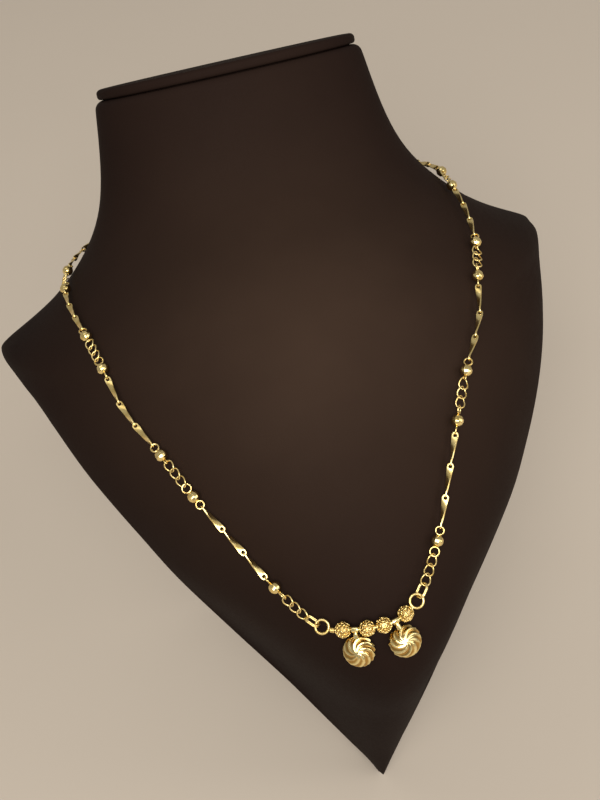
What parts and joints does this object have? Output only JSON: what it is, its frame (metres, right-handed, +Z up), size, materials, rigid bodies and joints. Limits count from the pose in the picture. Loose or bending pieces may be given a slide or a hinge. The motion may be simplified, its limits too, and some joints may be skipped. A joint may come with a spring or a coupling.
{
  "type": "mangalsutra necklace on a neck bust",
  "caption": "Gold-coloured bead-and-bar chain necklace with two fluted cup pendants on a beaded centre wire, worn on a plain covered neck bust with an easel leg.",
  "frame": {"origin": "middle of the stand's footprint box on the table", "axes": "+Z up, -Y towards the front of the chest, +X to the viewer's right"},
  "size_m": [0.204, 0.2188, 0.2746],
  "materials": {
    "gold": "polished yellow gold with duller hollows",
    "cover": "dark brown grained leatherette, satin"
  },
  "bodies": {
    "stand": {"bust": "cover", "neck_cap": "cover", "easel_leg": "cover", "centre_wire": "gold", "bead_1": "gold", "bead_2": "gold", "bead_3": "gold", "bead_4": "gold", "oval_link_left": "gold", "oval_link_right": "gold", "chain_left_1": "gold", "chain_left_2": "gold", "chain_left_3": "gold", "chain_left_4": "gold", "chain_left_5": "gold", "ball_left_1": "gold", "ball_left_2": "gold", "ball_left_3": "gold", "ball_left_4": "gold", "ball_left_5": "gold", "ball_left_6": "gold", "ball_left_7": "gold", "ball_left_8": "gold", "ball_left_9": "gold", "bars_left_1": "gold", "bars_left_2": "gold", "bars_left_3": "gold", "bars_left_4": "gold", "bars_left_5": "gold", "chain_right_1": "gold", "chain_right_2": "gold", "chain_right_3": "gold", "chain_right_4": "gold", "chain_right_5": "gold", "ball_right_1": "gold", "ball_right_2": "gold", "ball_right_3": "gold", "ball_right_4": "gold", "ball_right_5": "gold", "ball_right_6": "gold", "ball_right_7": "gold", "ball_right_8": "gold", "ball_right_9": "gold", "bars_right_1": "gold", "bars_right_2": "gold", "bars_right_3": "gold", "bars_right_4": "gold", "bars_right_5": "gold", "clasp": "gold"},
    "vati_left": {"vati_left": "gold"},
    "vati_right": {"vati_right": "gold"}
  },
  "joints": [
    {"name": "vati_left_swing", "type": "hinge", "parent": "stand", "child": "vati_left", "pos_m": [-0.00983, -0.10076, 0.18476], "axis": [-0.9218, 0.3591, -0.1462], "range_deg": [0, 120]},
    {"name": "vati_right_swing", "type": "hinge", "parent": "stand", "child": "vati_right", "pos_m": [0.00187, -0.10211, 0.18579], "axis": [-0.9698, -0.2065, -0.1299], "range_deg": [0, 120]}
  ]
}
